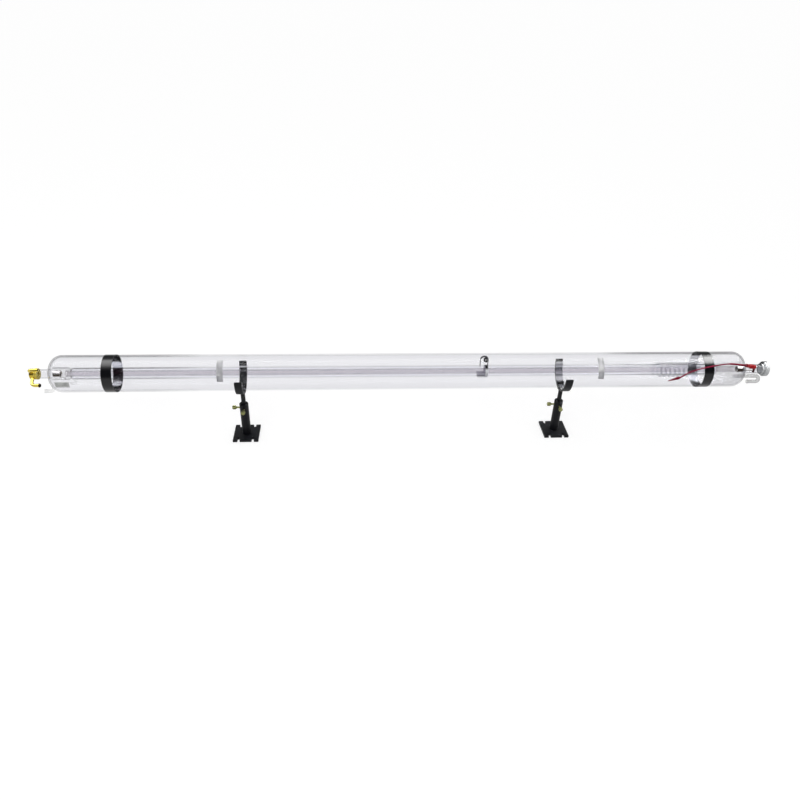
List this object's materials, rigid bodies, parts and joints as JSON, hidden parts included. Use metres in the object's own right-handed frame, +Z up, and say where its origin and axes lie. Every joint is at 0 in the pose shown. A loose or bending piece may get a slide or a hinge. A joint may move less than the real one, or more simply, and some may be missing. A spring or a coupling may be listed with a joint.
{
  "type": "co2 laser tube",
  "caption": "Sealed-glass gas laser tube with water jacket, gold output head and high-voltage lead, resting in padded cradles on height-adjustable post stands.",
  "frame": {"origin": "centre of the bounding box's footprint, on the bench under the stands", "axes": "+X along the tube towards its high-voltage end, +Y to the far side, +Z up"},
  "size_m": [1.6414, 0.096, 0.2084],
  "materials": {
    "clear_glass": "clear, glossy",
    "electrode_nickel": "satin nickel sheet",
    "spring_steel": "bright spring steel",
    "gold_head": "polished, gold plated",
    "mirror_window": "coated optic",
    "black_rubber": "matt",
    "satin_metal": "satin",
    "black_band": "smooth black band",
    "red_silicone": "smooth silicone",
    "dark_red_lead": "smooth insulation",
    "black_anodised": "black anodised, satin",
    "steel": "machined",
    "blackened_steel": "blackened",
    "knurled_brass": "knurled"
  },
  "bodies": {
    "tube": {"outer_envelope": "clear_glass", "discharge_tube": "clear_glass", "water_jacket": "clear_glass", "front_chamber": "clear_glass", "gas_return_coil": "clear_glass", "front_water_arm": "clear_glass", "rear_water_arm": "clear_glass", "cathode_cylinder": "electrode_nickel", "cathode_lead": "electrode_nickel", "anode_cylinder": "electrode_nickel", "anode_lead": "electrode_nickel", "mid_support": "spring_steel", "head_body": "gold_head", "head_flange": "gold_head", "retaining_ring": "gold_head", "output_mirror": "mirror_window", "mirror_seal": "black_rubber", "lower_head_nozzle": "gold_head", "upper_head_nozzle": "gold_head", "rear_collar": "satin_metal", "rear_mirror": "mirror_window", "rear_cap": "satin_metal", "front_band": "black_band", "rear_band": "black_band", "hv_boot": "red_silicone", "hv_lead": "dark_red_lead", "hv_lead_cover": "dark_red_lead", "hv_lead_sleeve": "dark_red_lead", "front_cradle": "black_anodised", "front_cradle_lining": "black_rubber", "rear_cradle": "black_anodised", "rear_cradle_lining": "black_rubber"},
    "front_rod_set": {"front_rod": "blackened_steel", "front_cradle_screw": "steel", "front_cradle_washer": "steel"},
    "front_post": {"front_column": "black_anodised", "front_base_plate": "black_anodised", "front_base_screw": "blackened_steel"},
    "front_end_clamp": {"front_end_thumbscrew": "knurled_brass"},
    "front_side_clamp": {"front_side_thumbscrew": "knurled_brass"},
    "rear_rod_set": {"rear_rod": "blackened_steel", "rear_cradle_screw": "steel", "rear_cradle_washer": "steel"},
    "rear_post": {"rear_column": "black_anodised", "rear_base_plate": "black_anodised", "rear_base_screw": "blackened_steel"},
    "rear_end_clamp": {"rear_end_thumbscrew": "knurled_brass"},
    "rear_side_clamp": {"rear_side_thumbscrew": "knurled_brass"}
  },
  "joints": [
    {"name": "front_stand_turn", "type": "hinge", "parent": "tube", "child": "front_rod_set", "pos_m": [-0.3775, 0, 0.1175], "axis": [0, 0, 1], "continuous": true},
    {"name": "front_post_height", "type": "slide", "parent": "front_rod_set", "child": "front_post", "axis": [0, 0, 1], "range_m": [-0.02, 0.028]},
    {"name": "front_end_screw_turn", "type": "hinge", "parent": "front_post", "child": "front_end_clamp", "pos_m": [-0.3955, 0, 0.0755], "axis": [-1, 0, 0], "continuous": true},
    {"name": "front_side_screw_turn", "type": "hinge", "parent": "front_post", "child": "front_side_clamp", "pos_m": [-0.3775, -0.018, 0.0755], "axis": [0, -1, 0], "continuous": true},
    {"name": "rear_stand_turn", "type": "hinge", "parent": "tube", "child": "rear_rod_set", "pos_m": [0.346, 0, 0.1175], "axis": [0, 0, 1], "continuous": true},
    {"name": "rear_post_height", "type": "slide", "parent": "rear_rod_set", "child": "rear_post", "axis": [0, 0, 1], "range_m": [-0.02, 0.028]},
    {"name": "rear_end_screw_turn", "type": "hinge", "parent": "rear_post", "child": "rear_end_clamp", "pos_m": [0.328, 0, 0.0755], "axis": [-1, 0, 0], "continuous": true},
    {"name": "rear_side_screw_turn", "type": "hinge", "parent": "rear_post", "child": "rear_side_clamp", "pos_m": [0.346, -0.018, 0.0755], "axis": [0, -1, 0], "continuous": true}
  ]
}
